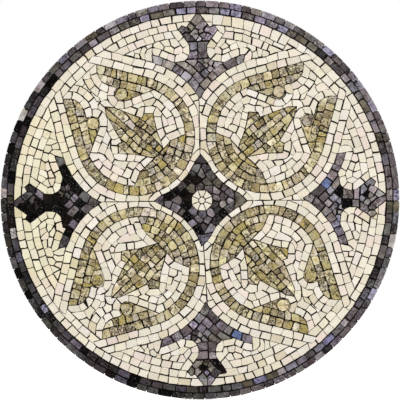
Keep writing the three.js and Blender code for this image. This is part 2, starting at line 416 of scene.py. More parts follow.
def outlineOf(rows, columns, field):
    # corners of one stone, from the edges of its cells
    filled = set(zip(rows.tolist(), columns.tolist()))
    following = {}
    for r, c in filled:
        for step, start, end in cellSides:
            if (r + step[0], c + step[1]) not in filled:
                following.setdefault((r + start[0], c + start[1]), []).append((r + end[0], c + end[1]))
    steps = max(closedLoops(following), key=len)
    middle = (steps + np.roll(steps, -1, axis=0)) / 2
    return cornersOf(np.stack([field.low[0] + middle[:, 1] * cell, field.low[1] + middle[:, 0] * cell], 1))


def cornersOf(points):
    # keeps the corners of a closed line, then lays a straight side along the points between them
    first = int(np.argmax(np.hypot(*(points - points.mean(0)).T)))
    points = np.roll(points, -first, axis=0)
    second = int(np.argmax(np.hypot(*(points - points[0]).T)))
    count = len(points)
    closed = np.concatenate([points, points[:1]])
    keep = {0, second}
    spans = [(0, second), (second, count)]
    while spans:
        start, end = spans.pop()
        if end - start < 2:
            continue
        line = closed[end] - closed[start]
        offset = closed[start + 1:end] - closed[start]
        away = np.abs(offset[:, 0] * line[1] - offset[:, 1] * line[0]) / (np.hypot(*line) + 1e-9)
        worst = int(np.argmax(away))
        if away[worst] > layout["straight"]:
            keep.add(start + 1 + worst)
            spans += [(start, start + 1 + worst), (start + 1 + worst, end)]
    corners = sorted(keep)
    lines = []
    for start, end in zip(corners, corners[1:] + [count]):
        run = closed[start:end + 1]
        run = run[1:-1] if len(run) > 6 else run
        middle = run.mean(0)
        lines.append((middle, np.linalg.svd(run - middle)[2][0]))
    result = []
    for i, corner in enumerate(corners):
        met = meet(lines[i - 1], lines[i])
        moves = met is not None and np.hypot(*(met - closed[corner])) < layout["cornerReach"]
        result.append(met if moves else closed[corner])
    return tidyCorners(result)


def meet(one, other):
    # where two lines cross, unless they are nearly parallel
    (p, u), (q, v) = one, other
    cross = u[0] * v[1] - u[1] * v[0]
    if abs(cross) < layout["parallel"]:
        return None
    w = q - p
    return p + u * (w[0] * v[1] - w[1] * v[0]) / cross


def tidyCorners(corners):
    i = 0
    while len(corners) > 4 and i < len(corners):
        j = (i + 1) % len(corners)
        if np.hypot(*(corners[j] - corners[i])) < layout["shortSide"]:
            corners[i] = (corners[i] + corners[j]) / 2
            del corners[j]
            i = 0
        else:
            i += 1
    corners = np.array(corners)
    if area(corners) < 0:
        corners = corners[::-1]
    hull = hullOf(corners)
    return hull if area(hull) < layout["nearlyConvex"] * area(corners) else corners


def cupLine(quarter):
    # the outer line of a cup, run on past the tips of its lobes, with its centre and the way it opens
    hull = hullOf(nodeLoops("tulip_cup_" + quarter)[0])
    count = len(hull)
    middles = (hull + np.roll(hull, -1, axis=0)) / 2
    longEnough = np.hypot(*(hull - np.roll(hull, -1, axis=0)).T) > cupRows["mouthSide"]
    mouth = int(np.argmax(np.hypot(*middles.T) * longEnough))
    tips = (mouth, (mouth + 1) % count)
    back = np.array([p for i, p in enumerate(hull) if i not in tips])
    system = np.column_stack([2 * back, np.ones(len(back))])
    centre = np.linalg.lstsq(system, (back ** 2).sum(1), rcond=None)[0][:2]
    extended = hull.copy()
    for tip, beside in ((tips[0], tips[0] - 1), (tips[1], (tips[1] + 1) % count)):
        side = hull[tip] - hull[beside]
        extended[tip] = hull[tip] + side / np.hypot(*side) * cupRows["runOn"]
    opening = middles[mouth] - centre
    return {"loop": extended, "centre": centre, "opening": opening / np.hypot(*opening)}


class Layer:
    # lays rows of stones into what is still free of a field

    def __init__(self, name, settings, index=0):
        self.settings = settings
        self.loops = nodeLoops(name)
        self.field = Field(self.loops)
        self.waves = self.field.waves(settings["seed"] + index) * settings["sway"]
        self.free = self.field.mask.copy()
        self.labels = np.zeros(self.free.shape, int)
        self.dice = random.Random(settings["seed"] + index)
        self.whole = []

    def row(self, depth, low, high, stone, where=True, jitter=None):
        # the lines between rows sway a little, the lines of the drawing don't
        depth = depth + self.waves * (depth > layout["still"])
        band = self.free & (depth >= low) & (depth < high) & where
        self.cut(band, np.abs(depth - (low + high) / 2) < layout["spine"] * cell, stone, jitter)

    def cut(self, band, spine, stone, jitter=None):
        jitter = self.settings["jitter"] if jitter is None else jitter
        cutRow(band, spine, stone, jitter, self.dice, self.labels)
        self.free &= self.labels == 0

    def piece(self, where):
        # stones of a given shape, that aren't cut further
        band = patches((self.free & where).astype(int))
        self.free &= band == 0
        for rows, columns in cellsOf(band):
            if len(rows) * cell ** 2 > layout["smallest"]:
                self.whole.append(outlineOf(rows, columns, self.field))

    def finish(self, depth):
        # what is too narrow for two stones is cut across, and the rest is filled with small ones
        wide, stone = self.settings["strip"]
        inward = distanceTo(~self.free, layout["stripReach"])
        roomy = distanceTo(self.free & (inward > wide / 2), layout["stripReach"]) < wide / 2 + cell
        self.cut(self.free & ~roomy, ridge(inward, self.free & ~roomy), stone)
        scatter(self.free, depth, self.settings["fill"], self.dice, self.labels)
        smallest = self.settings.get("smallest", layout["smallest"])
        labels = splitLarge(mergeScraps(self.labels, smallest), self.settings["usual"], self.dice)
        cells = cellsOf(mergeScraps(labels, smallest))
        return [outlineOf(*each, self.field) for each in cells] + self.whole, self.field


# Cream ground: rows round the cup, along the border and the leaf, and small stones between them
ground = {
    "halo": 12.0, "haloStone": 18.6, "haloJitter": 0.18, "follow": 3.0,
    "starReach": 9.0, "starStone": 19.5, "starJitter": 0.1,
    "rim": 11.4, "rimStone": 17.0, "rimJitter": 0.3,
    "tallRim": 15.8, "tallStone": 15.3, "tallFrom": (61, 86),      # bearings
    "inner": 11.2, "innerStone": 15.5, "strip": (7.5, 14.2), "fill": (9.9, 14.2), "usual": 172.0,
    "seed": 31, "jitter": 0.45, "sway": 0.9,
}


def layGround(index):
    quarter = quarters[index]
    layer = Layer("ground_" + quarter, ground, index)
    field = layer.field
    within = field.fill([cupLine(quarter)["loop"]])
    around = distanceTo(within)
    rim = max(np.hypot(*loop.T).max() for loop in layer.loops) - field.radius()
    shapes = ("tulip_cup_" + quarter, "tulip_leaf_" + quarter, "centre_star")
    cup, leaf, star = [field.beyond(name) for name in shapes]
    fleuron = field.beyond("fleuron_" + sides[index], "fleuron_" + sides[(index + 1) % 4])
    halo, haloStone, haloJitter = ground["halo"], ground["haloStone"], ground["haloJitter"]
    rimRow, rimStone, rimJitter = ground["rim"], ground["rimStone"], ground["rimJitter"]
    inner, innerStone, follow = ground["inner"], ground["innerStone"], ground["follow"]
    bearing = np.degrees(np.arctan2(field.gridZ, field.gridX))
    tall = (bearing > ground["tallFrom"][0]) & (bearing < ground["tallFrom"][1])
    nearStar = ~within & (star < ground["starReach"])
    layer.row(around, -1, halo, ground["starStone"], nearStar, ground["starJitter"])
    layer.row(around, -1, halo, haloStone, ~within & (cup < follow + halo), haloJitter)
    layer.row(rim, -1, ground["tallRim"], ground["tallStone"], tall, rimJitter)
    layer.row(rim, -1, rimRow, rimStone, ~tall, rimJitter)
    layer.row(around, halo, 2 * halo, haloStone, ~within & (cup < follow + 2 * halo), haloJitter)
    layer.row(rim, rimRow, 2 * rimRow, rimStone, ~tall, rimJitter)
    for line in (cup, leaf, fleuron):
        layer.row(line, -1, inner, innerStone)
    layer.row(cup, inner, 2 * inner, innerStone)
    layer.row(rim, 2 * rimRow, 3 * rimRow, rimStone)
    return layer.finish(np.minimum.reduce([np.abs(around), rim, cup, leaf, fleuron]))


# Olive cup: the row of its ring runs out into the lobes, and the root and a round knob lie inside it
cupRows = {
    "mouthSide": 50.0, "runOn": 90.0, "widths": (13.1, 11.4, 11.6, 12.4), "stones": (13.2, 12.4, 12.0, 12.0),
    "knob": (59.6, 31.4), "knobRadius": 9.4, "strip": (6.0, 12.0), "fill": (10.0, 11.5), "usual": 118.0,
    "seed": 47, "jitter": 0.5, "sway": 0.6,
}


def layCup(index):
    line = cupLine(quarters[index])
    layer = Layer("tulip_cup_" + quarters[index], cupRows, index)
    opening = line["opening"]
    across = np.array([-opening[1], opening[0]])
    out, aside = cupRows["knob"]
    for side in (-1, 1):
        knob = line["centre"] + opening * out + across * aside * side
        layer.piece(layer.field.radius(knob) < cupRows["knobRadius"])
    depth = distanceTo(~layer.field.fill([line["loop"]]))
    low = 0.0
    for width, stone in zip(cupRows["widths"], cupRows["stones"]):
        layer.row(depth, low or -1, low + width, stone)
        low += width
    return layer.finish(depth)


# Olive leaf: rows either side of its middle
leafRows = {"widths": (9.6, 11.6, 10.4, 12.0), "stone": 11.6, "strip": (6.0, 11.0), "fill": (10.0, 11.5),
            "usual": 110.0, "seed": 59, "jitter": 0.75, "sway": 2.2}


def layLeaf(index):
    layer = Layer("tulip_leaf_" + quarters[index], leafRows, index)
    loop = layer.loops[0]
    ends = loop[np.argsort(np.hypot(*loop.T))]
    foot = (ends[0] + ends[1]) / 2
    tip = loop[np.argmax(np.hypot(*(loop - foot).T))]
    rib = (tip - foot) / np.hypot(*(tip - foot))
    across = (layer.field.gridZ - foot[1]) * rib[0] - (layer.field.gridX - foot[0]) * rib[1]
    for side in (-1, 1):
        low = 0.0
        for width in leafRows["widths"][::side]:
            layer.row(across * side, low, low + width, leafRows["stone"])
            low += width
    return layer.finish(np.abs(across))


# Dark fleuron: long stones along its arms and down to its inner tip, two columns up its neck
fleuronRows = {
    "start": 24.0, "overlap": 1.5, "arm": 11.9, "armStone": 17.0, "body": 11.4, "bodyStone": 15.0,
    "neck": (60.0, 87.0), "column": 13.5, "neckStone": 14.0, "edge": 10.2, "edgeStone": 15.0,
    "strip": (6.0, 10.0), "fill": (8.4, 9.4), "usual": 150.0, "smallest": 52.0,
    "seed": 71, "jitter": 0.5, "sway": 0.9,
}


def layFleuron(index):
    layer = Layer("fleuron_" + sides[index], fleuronRows, index)
    field = layer.field
    loop = layer.loops[0]
    reach = np.hypot(*loop.T)
    inner, outer = loop[np.argmin(reach)], loop[np.argmax(reach)]
    axis = (outer - inner) / np.hypot(*(outer - inner))
    along = (field.gridX - inner[0]) * axis[0] + (field.gridZ - inner[1]) * axis[1]
    across = (field.gridZ - inner[1]) * axis[0] - (field.gridX - inner[0]) * axis[1]
    low, high = fleuronRows["neck"]
    start, arm, row = fleuronRows["start"], fleuronRows["arm"], fleuronRows["body"]
    for quarter in (quarters[index - 1], quarters[index]):
        nearby = distanceTo(field.fill([cupLine(quarter)["loop"]]))
        layer.row(nearby, start - fleuronRows["overlap"], start + arm, fleuronRows["armStone"], along < high)
    neck = (along > low) & (along < high)
    for side in (-1, 1):
        layer.row(across * side, 0, fleuronRows["column"], fleuronRows["neckStone"], neck)
    for body in (start + arm, start + arm + row):
        layer.row(nearby, body, body + row, fleuronRows["bodyStone"], along < low)
    depth = distanceTo(~field.mask)
    layer.row(depth, -1, fleuronRows["edge"], fleuronRows["edgeStone"], along > high)
    return layer.finish(depth)


# Dark star: one stone in each tip, a row along each side, and odd stones round the rosette
starRows = {"tip": 54.5, "edge": 11.0, "edgeStone": 14.5, "strip": (6.0, 10.0), "fill": (10.4, 12.2),
            "usual": 125.0, "smallest": 62.0, "seed": 83, "jitter": 0.5, "sway": 0.8}


def layStar():
    layer = Layer("centre_star", starRows)
    layer.piece(layer.field.radius(layer.loops[0].mean(0)) > starRows["tip"])
    depth = distanceTo(~layer.field.fill(layer.loops[:1]))
    layer.row(depth, -1, starRows["edge"], starRows["edgeStone"])
    return layer.finish(depth)


def layBorder(name):
    # the CAD ring has a corner at each joint
    rings = nodeLoops(name)[:2]
    angles = np.sort(np.arctan2(rings[0][:, 1], rings[0][:, 0]))
    outer, inner = [np.hypot(*loop.T).mean() for loop in rings]
    count = layout["arcSteps"]
    loops = []
    for start, end in zip(angles, np.append(angles[1:], angles[0] + 2 * math.pi)):
        arc = [(outer, start + (end - start) * i / count) for i in range(count + 1)]
        corners = [(inner, end), (inner, start), *arc]
        loops.append(np.array([(r * math.cos(a), r * math.sin(a)) for r, a in corners]))
    return loops, Field(rings)


def layRosette():
    # its petals and its button are stones already, and the petals have straight sides
    loops = []
    for name in rosetteNodes:
        loop = nodeLoops(name)[0]
        before, after = loop - np.roll(loop, 1, axis=0), np.roll(loop, -1, axis=0) - loop
        bend = np.abs(before[:, 0] * after[:, 1] - before[:, 1] * after[:, 0])
        sharp = bend > 0.5 * np.hypot(*before.T) * np.hypot(*after.T)
        loops.append(loop if sharp.sum() < 3 else loop[sharp])
    return loops, None


rosetteNodes = sorted(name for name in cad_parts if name.startswith("rosette"))
stones = {}


def addGroup(name, kind, laid, seed, nodes=None):
    stones[name] = {"kind": kind, "loops": laid[0], "field": laid[1], "seed": seed, "nodes": nodes or [name]}


for i in range(4):
    addGroup("ground_" + quarters[i], "cream", layGround(i), 101 + i)
    addGroup("tulip_cup_" + quarters[i], "olive", layCup(i), 171 + i)
    addGroup("tulip_leaf_" + quarters[i], "olive", layLeaf(i), 121 + i)
    addGroup("fleuron_" + sides[i], "dark", layFleuron(i), 131 + i)
addGroup("centre_star", "dark", layStar(), 141)
addGroup("border_outer_row", "dark", layBorder("border_outer_row"), 151)
addGroup("border_inner_row", "dark", layBorder("border_inner_row"), 152)
addGroup("rosette", "cream", layRosette(), 161, rosetteNodes)
print("stones laid out:", sum(len(group["loops"]) for group in stones.values()))


def mathNode(operation, flipped=False):
    def join(wire, other):
        values = [other, wire] if flipped else [wire, other]
        return wire.bench.make("ShaderNodeMath", {"operation": operation}, values)

    return join


class Wire:
    # a node's output that can be written into sums

    def __init__(self, bench, socket):
        self.bench = bench
        self.socket = socket

    __add__ = __radd__ = mathNode("ADD")
    __mul__ = __rmul__ = mathNode("MULTIPLY")
    __sub__, __rsub__ = mathNode("SUBTRACT"), mathNode("SUBTRACT", True)
    __truediv__, __rtruediv__ = mathNode("DIVIDE"), mathNode("DIVIDE", True)
    __gt__, __lt__ = mathNode("GREATER_THAN"), mathNode("LESS_THAN")

    def math(self, operation, *others, clamp=False):
        return self.bench.make("ShaderNodeMath", {"operation": operation, "use_clamp": clamp}, [self, *others])

    def between(self, low, high):
        # 0 at low and below, 1 at high and above
        return ((self - low) / (high - low)).math("ADD", 0.0, clamp=True)


class Bench:
    # makes the nodes of one tree

    def __init__(self, tree):
        self.tree = tree

    def make(self, kind, settings=None, values=(), out=0):
        node = self.tree.nodes.new(kind)
        for key, value in (settings or {}).items():
            setattr(node, key, value)
        sockets = [s for s in node.inputs if s.enabled]
        for key, value in values.items() if isinstance(values, dict) else enumerate(values):
            socket = sockets[key] if isinstance(key, int) else next(s for s in sockets if s.name == key)
            for one in value if isinstance(value, list) else [value]:
                if isinstance(one, Wire):
                    self.tree.links.new(one.socket, socket)
                else:
                    socket.default_value = one
        outputs = [s for s in node.outputs if s.enabled]
        found = [s for i, s in enumerate(outputs) if out in (i, s.name)]
        return Wire(self, found[0]) if found else None

    def also(self, wire, out):
        # another output of the node behind a wire
        return Wire(self, wire.socket.node.outputs[out])

    def parts(self, vector):
        x = self.make("ShaderNodeSeparateXYZ", None, [vector])
        return x, self.also(x, "Y"), self.also(x, "Z")

    def vector(self, operation, values, out=0):
        return self.make("ShaderNodeVectorMath", {"operation": operation}, values, out)

    def noise(self, place, scale, detail=2.0, rough=0.5, twist=0.0):
        return self.make("ShaderNodeTexNoise", None, {"Vector": place, "Scale": scale, "Detail": detail,
                                                      "Roughness": rough, "Distortion": twist})

    def mix(self, factor, a, b, blend="MIX"):
        # a colour is a wire or is written as on a paint card
        a, b = [(*tint(c), 1.0) if isinstance(c, str) else c for c in (a, b)]
        return self.make("ShaderNodeMix", {"data_type": "RGBA", "blend_type": blend}, [factor, a, b])

    def finish(self, color, roughness, strength, distance, height, **others):
        bump = self.make("ShaderNodeBump", None, {"Strength": strength, "Distance": distance, "Height": height})
        shader = self.make("ShaderNodeBsdfPrincipled", None,
                           {"Base Color": color, "Roughness": roughness, "Normal": bump, **others})
        self.make("ShaderNodeOutputMaterial", None, {"Surface": shader})


def newMaterial(name):
    # an empty material, its bench and the place on the object
    material = bpy.data.materials.new(name)
    material.use_nodes = True
    material.node_tree.nodes.clear()
    bench = Bench(material.node_tree)
    return material, bench, bench.make("ShaderNodeTexCoord", None, (), "Object")


def newObject(name, data):
    thing = bpy.data.objects.new(name, data)
    bpy.context.scene.collection.objects.link(thing)
    return thing


def faceOutward(mesh):
    shape = bmesh.new()
    shape.from_mesh(mesh)
    bmesh.ops.recalc_face_normals(shape, faces=shape.faces)
    shape.to_mesh(mesh)
    shape.free()


def tint(code):
    # a colour from a paint card, as linear light
    parts = [int(code[i:i + 2], 16) / 255 for i in (0, 2, 4)]
    return tuple(c / 12.92 if c <= 0.04045 else ((c + 0.055) / 1.055) ** 2.4 for c in parts)


# Marbles: the colours stones are sorted into with their shares, and what shows on each stone's face
# each marble's near-black joint colour (1c150e, 150f09, 0a0706) is painted shade on the stones' sides deep between
# them
marbles = {
    "cream": {
        "colors": [("dcd6c8", 30), ("dad1c2", 22), ("dad2bf", 14), ("e0dad1", 14), ("dccfc6", 8), ("d6d1c1", 3),
                   ("cec3ac", 4)],
        "spread": 0.045, "blend": "MIX", "cloud": 0.14, "cloudColor": "c8bda3", "warm": 0.1, "warmColor": "d2c090",
        "patch": 0.12, "patchColor": "b8aa8e", "speck": 0.12, "speckColor": "9f9074", "vein": 0.2,
        "veinColor": "ab9778", "glint": 0.15, "glintAt": 0.6, "glintColor": "efeae2", "jointShade": "1c150e",
        "coarse": 0.9, "mottled": 0.13, "roughness": 0.5, "gloss": 0.14, "relief": 0.25, "joint": (0.35, 2.15),
        "chip": (0.12, 0.7),
    },
    "olive": {
        "colors": [("e0d5b6", 26), ("d3c7a0", 22), ("b9ad88", 14), ("dacebb", 16), ("ab9c62", 8), ("a69879", 10),
                   ("c9c0b7", 10), ("87795e", 6), ("e4dac6", 4)],
        "spread": 0.13, "blend": "MIX", "cloud": 0.6, "cloudColor": "8f7d52", "warm": 0.5, "warmColor": "aa9a4c",
        "patch": 0.85, "patchColor": "403320", "speck": 0.5, "speckColor": "1c140c", "vein": 0.9,
        "veinColor": "2e2418", "glint": 0.4, "glintAt": 0.58, "glintColor": "ddd5c0", "jointShade": "150f09",
        "coarse": 0.6, "mottled": 0.19, "roughness": 0.48, "gloss": 0.08, "relief": 0.4, "joint": (0.3, 2.15),
        "chip": (0.3, 1.9),
    },
    "dark": {
        "colors": [("6a6266", 14), ("6f6d6d", 14), ("7a747d", 12), ("6a6973", 9), ("6b6861", 12), ("554e51", 14),
                   ("3f3a3c", 10), ("231e20", 6), ("8f8a8f", 8), ("847f92", 4), ("5c5647", 5)],
        "spread": 0.16, "blend": "MULTIPLY", "cloud": 0.8, "cloudColor": "aba6a8", "warm": 0.6,
        "warmColor": "e8d8c0", "patch": 0.75, "patchColor": "565052", "speck": 0.5, "speckColor": "302c2c",
        "vein": 0.6, "veinColor": "6a6466", "glint": 0.22, "glintAt": 0.66, "glintColor": "a8a2a4",
        "jointShade": "0a0706", "coarse": 0.9, "mottled": 0.16, "roughness": 0.5, "gloss": 0.03, "relief": 0.35,
        "joint": (0.8, 2.9), "chip": (0.3, 1.1),
    },
}
# how far single stones differ: in lightness, in hue, in their place in the marble, and in how mottled they are
single = {"lift": (-2.0, 1.2), "hue": 0.25, "place": 5.0, "mottle": 1.6}
yellowSide = {"left": -190.0, "high": 130.0, "blue": 0.88}
# a few stones of other colours lie where the real panel has them, across and up in millimetres
oddReach = (4.5, 8.5)
oddStones = {
    "6c7aa6": [(192, 25), (57.5, -205)],
    "8784a6": [(193, -220), (96, -278)],
    "aaa6c0": [(197, 226), (121, 268), (41, 287), (62, 286), (-20.5, 290), (-38.7, 287.5), (-79, 279.5),
               (-239.4, -160), (207, -32), (262.4, -150), (301, 0)],
}
# the dark marble differs from field to field: share of near black and of light stones, the general tone, and
# how far all of them are alike
darkShare = {
    "fleuron_left": (0.52, 0.09, 1.1, 0.1), "fleuron_top": (0.0, 0.08, 2.7, 0.35),
    "fleuron_right": (0.06, 0.2, 2.55, 0.15), "fleuron_bottom": (0.18, 0.1, 1.8, 0.15),
    "centre_star": (0.28, 0.07, 1.35, 0.2), "border": (0.16, 0.06, 1.35, 0.15),
}
blackColors = ["0d0b0b", "151112", "080707", "1e1815"]
lightColors = ["a49e9d", "bab4b4", "9994a0"]
middleGrey = "6c686a"
borderTone = {
    "bearing": [-60, -30, 0, 30, 60, 90, 120, 135, 150, 165, 180, 200, 225, 245, 270, 285, 300],
    "tone": [1.1, 0.95, 0.95, 1.15, 1.4, 1.5, 1.4, 0.75, 0.36, 0.26, 0.5, 0.34, 0.5, 0.55, 0.42, 0.85, 1.15],
    "blackBelow": 0.9,
}


def oddColor(place):
    for code, places in oddStones.items():
        for other in places:
            rows = abs(math.hypot(*place) - math.hypot(*other))
            if rows < oddReach[0] and math.dist(place, other) < oddReach[1]:
                return tint(code)
    return None


def darkColor(name, code, place, dice):
    black, light, tone, alike = darkShare["border" if name.startswith("border") else name]
    if name.startswith("border"):
        first = borderTone["bearing"][0]
        bearing = (math.degrees(math.atan2(place[1], place[0])) - first) % 360 + first
        tone *= float(np.interp(bearing, borderTone["bearing"], borderTone["tone"]))
        black = black if tone < borderTone["blackBelow"] else 0.0
    chance = dice.random()
    if chance < black:
        return tint(dice.choice(blackColors))
    if chance > 1 - light:
        return tint(dice.choice(lightColors))
    return [(c + (m - c) * alike) * tone for c, m in zip(tint(code), tint(middleGrey))]


def stoneColor(kind, name, place, dice):
    if kind == "dark" and oddColor(place):
        return oddColor(place)
    codes, weights = zip(*marbles[kind]["colors"])
    spread = marbles[kind]["spread"]
    code = dice.choices(codes, weights)[0]
    color = darkColor(name, code, place, dice) if kind == "dark" else tint(code)
    lift = 1 + dice.uniform(*single["lift"]) * spread
    color = [c * lift * (1 + dice.uniform(-single["hue"], single["hue"]) * spread) for c in color]
    if kind == "cream" and place[0] < yellowSide["left"] and abs(place[1]) < yellowSide["high"]:
        color[2] *= yellowSide["blue"]
    return tuple(color)


# Every stone gives up half a joint all round, loses its sharp corners and gets slightly uneven sides
split = {
    "atRim": (0.0, 0.3),     # given up along the outline of a field, where the drawing leaves a joint already
    "jointScale": 0.13, "jointSwing": 1.9, "slip": 0.08,
    "rimFrom": 301.0, "rimJointFrom": 291.0, "rimJoint": 0.5, "rimChip": (0.15, 0.5),
    "rows": (289.5, 295.5),  # where the two border rows meet, with a wider joint
    "rowJoint": (0.25, 1.0),
    "cornerReach": 2.5, "nearlyStraight": 0.93, "chipShare": 0.3,
    "longSide": 6.5, "bend": 0.24, "bendAt": (0.38, 0.62),
    "leastSide": 0.2, "least": 3.0, "noSide": 0.05,
    "beyond": 1.6,           # how far outside a side the field is looked for, in cells
}


def jointAt(point, kind):
    # some joints are tight and some open, and both stones beside one agree on it
    tight, wide = marbles[kind]["joint"]
    place = Vector((point[0], point[1], 0)) * split["jointScale"]
    share = min(1.0, max(0.0, 0.5 + split["jointSwing"] * noise.noise(place)))
    atRim = math.hypot(*point) > split["rimJointFrom"]
    return (tight + (wide - tight) * share) * (split["rimJoint"] if atRim else 1)


def cutStone(loop, kind, field, dice):
    if area(loop) < 0:
        loop = loop[::-1]
    side = np.roll(loop, -1, axis=0) - loop
    size = np.hypot(side[:, 0], side[:, 1])
    kept = size > split["noSide"]
    middles = (loop + np.roll(loop, -1, axis=0))[kept] / 2
    loop, side, size = loop[kept], side[kept], size[kept]
    count = len(loop)
    normal = np.stack([-side[:, 1], side[:, 0]], 1) / size[:, None]
    moved = []
    for i in range(count):
        give = jointAt(middles[i], kind) / 2 + dice.uniform(-1, 1) * split["slip"]
        if field is None or not field.holds(middles[i] - normal[i] * split["beyond"] * cell):
            between = split["rows"][0] < np.hypot(*middles[i]) < split["rows"][1]
            give = dice.uniform(*split["rowJoint" if between else "atRim"])
        moved.append((loop[i] + normal[i] * give, side[i] / size[i], give))
    corners = []
    for i in range(count):
        met = meet(moved[i - 1][:2], moved[i][:2])
        if met is None or np.hypot(*(met - loop[i])) > split["cornerReach"]:
            met = loop[i] + (normal[i - 1] + normal[i]) * moved[i - 1][2] / 2
        corners.append(met)
    points = []
    for i in range(count):
        here, before, after = corners[i], corners[i - 1], corners[(i + 1) % count]
        back, on = np.hypot(*(before - here)), np.hypot(*(after - here))
        if min(back, on) < split["leastSide"]:
            continue
        if np.dot(here - before, after - here) > split["nearlyStraight"] * back * on:
            points.append(here)
            continue
        chip = split["rimChip"] if np.hypot(*here) > split["rimFrom"] else marbles[kind]["chip"]
        chips = [min(dice.uniform(*chip), split["chipShare"] * length) for length in (back, on)]
        points.append(here + (before - here) / back * chips[0])
        points.append(here + (after - here) / on * chips[1])
        if on > split["longSide"]:
            bow = np.array([here[1] - after[1], after[0] - here[0]]) / on * dice.uniform(-1, 1) * split["bend"]
            points.append(here + (after - here) * dice.uniform(*split["bendAt"]) + bow)
    return np.array(points)


# Heights in front of the panel's back, and how unevenly the stones stand
stoneSizes = {"Height": 8.5, "Edge": 0.6, "Bevel": 0.22, "Rise": 0.24, "Lean": 0.022, "Rough": 0.16, "Back": -0.85,
              "Seed": 5}
stoneTaper = {"wall": 0.99, "edge": 0.975, "bevel": 0.955}
stoneWeld = 0.00001


def drawStones(name, group):
    # the stones' outlines as flat faces at their backs, with a colour and a place in the marble for each
    dice = random.Random(group["seed"])
    corners, faces = [], []
    marks = {"stoneTint": [], "grainAt": [], "mottle": []}
    for loop in group["loops"]:
        points = cutStone(loop, group["kind"], group["field"], dice)
        if len(points) < 4 or area(points) < split["least"]:
            continue
        faces.append(list(range(len(corners), len(corners) + len(points))))
        corners += [(x * mm, stoneSizes["Back"] * mm, z * mm) for x, z in points]
        color = stoneColor(group["kind"], name, tuple(points.mean(0)), dice)
        place = [dice.uniform(-single["place"], single["place"]) for _ in range(3)]
        for key, mark in zip(marks, ((*color, 1.0), place, [dice.random() ** single["mottle"]])):
            marks[key] += [*mark] * len(points)
    mesh = bpy.data.meshes.new(name)
    mesh.from_pydata(corners, [], faces)
    for key, kind, field in (("stoneTint", "FLOAT_COLOR", "color"), ("grainAt", "FLOAT_VECTOR", "vector"),
                             ("mottle", "FLOAT", "value")):
        mesh.attributes.new(key, kind, "POINT").data.foreach_set(field, marks[key])
    return newObject(name + "_outlines", mesh)


def newTree(name, sizes):
    # a tree with a named input for each size, and the wires of its inputs
    tree = bpy.data.node_groups.new(name, "GeometryNodeTree")
    kinds = {"Start": "Geometry", "Seed": "Int", "Material": "Material"}
    for label in ("Start", *sizes, "Material"):
        kind = "NodeSocket" + kinds.get(label, "Float")
        socket = tree.interface.new_socket(label, in_out="INPUT", socket_type=kind)
        if label in sizes:
            socket.default_value = sizes[label]
    tree.interface.new_socket("Result", in_out="OUTPUT", socket_type="NodeSocketGeometry")
    bench = Bench(tree)
    given = bench.make("NodeGroupInput").socket.node.outputs
    return bench, {s.name: Wire(bench, s) for s in given if s.name}


def finishTree(bench, made, material):
    real = bench.make("GeometryNodeRealizeInstances", None, [made])
    dressed = bench.make("GeometryNodeSetMaterial", None, {"Geometry": real, "Material": material})
    bench.make("NodeGroupOutput", None, [dressed])
    return bench.tree


def stoneTree():
    # thickens each flat outline into a split stone with worn edges
    bench, given = newTree("splitStones", stoneSizes)
    height, edge, bevel = [given[key] * mm for key in ("Height", "Edge", "Bevel")]
    position = bench.make("GeometryNodeInputPosition")
    index = bench.make("GeometryNodeInputIndex")
    vectors = {"data_type": "FLOAT_VECTOR"}

    def chance(seed):
        return bench.make("FunctionNodeRandomValue", vectors,
                          {"Min": (-1, -1, -1), "Max": (1, 1, 1), "ID": index, "Seed": seed})

    marked = given["Start"]
    for name, value in (("middle", position), ("lean", chance(given["Seed"]))):
        marked = bench.make("GeometryNodeStoreNamedAttribute", {**vectors, "domain": "FACE"},
                            {"Geometry": marked, "Name": name, "Value": value})
    face, top = marked, True
    for step, rise in (("wall", height - edge), ("edge", edge - bevel), ("bevel", bevel)):
        risen = bench.make("GeometryNodeExtrudeMesh", {"mode": "FACES"},
                           {"Mesh": face, "Selection": top, "Offset Scale": rise, "Individual": True})
        top = bench.also(risen, "Top")
        face = bench.make("GeometryNodeScaleElements", {"domain": "FACE"},
                          {"Geometry": risen, "Selection": top, "Scale": stoneTaper[step]})
    back = bench.make("GeometryNodeFlipFaces", None, [marked])
    joined = bench.make("GeometryNodeJoinGeometry", None, [[back, face]])
    made = bench.make("GeometryNodeMergeByDistance", None, {"Geometry": joined, "Distance": stoneWeld})

    # lean, rise and unevenness, all of them for the face side only
    middle, lean = [bench.make("GeometryNodeInputNamedAttribute", vectors, {"Name": name})
                    for name in ("middle", "lean")]
    slope = bench.parts(bench.vector("MULTIPLY", [bench.vector("SUBTRACT", [position, middle]), lean]))
    forward = (slope[0] + slope[2]) * given["Lean"] + bench.parts(lean)[1] * given["Rise"] * mm
    wobble = bench.vector("SCALE", {"Vector": chance(given["Seed"] + 7), "Scale": given["Rough"] * mm})
    offset = bench.vector("ADD", [bench.make("ShaderNodeCombineXYZ", None, {"Y": forward}), wobble])
    front = bench.parts(position)[1] < (given["Back"] - 1) * mm
    made = bench.make("GeometryNodeSetPosition", None, {"Geometry": made, "Selection": front, "Offset": offset})
    for spare in ("lean", "middle"):
        made = bench.make("GeometryNodeRemoveAttribute", None, {"Geometry": made, "Name": spare})
    return finishTree(bench, made, given["Material"])


def grow(source, tree, sizes, name):
    # runs a tree on an object and keeps the result as a plain mesh
    modifier = source.modifiers.new("grow", "NODES")
    modifier.node_group = tree
    for item in tree.interface.items_tree:
        if item.in_out == "INPUT" and item.name in sizes:
            modifier[item.identifier] = sizes[item.name]
    source.update_tag()
    graph = bpy.context.evaluated_depsgraph_get()
    grown = source.evaluated_get(graph)
    mesh = bpy.data.meshes.new_from_object(grown, preserve_all_data_layers=True, depsgraph=graph)
    source.modifiers.remove(modifier)
    bpy.data.objects.remove(source)
    mesh.name = name
    return newObject(name, mesh)


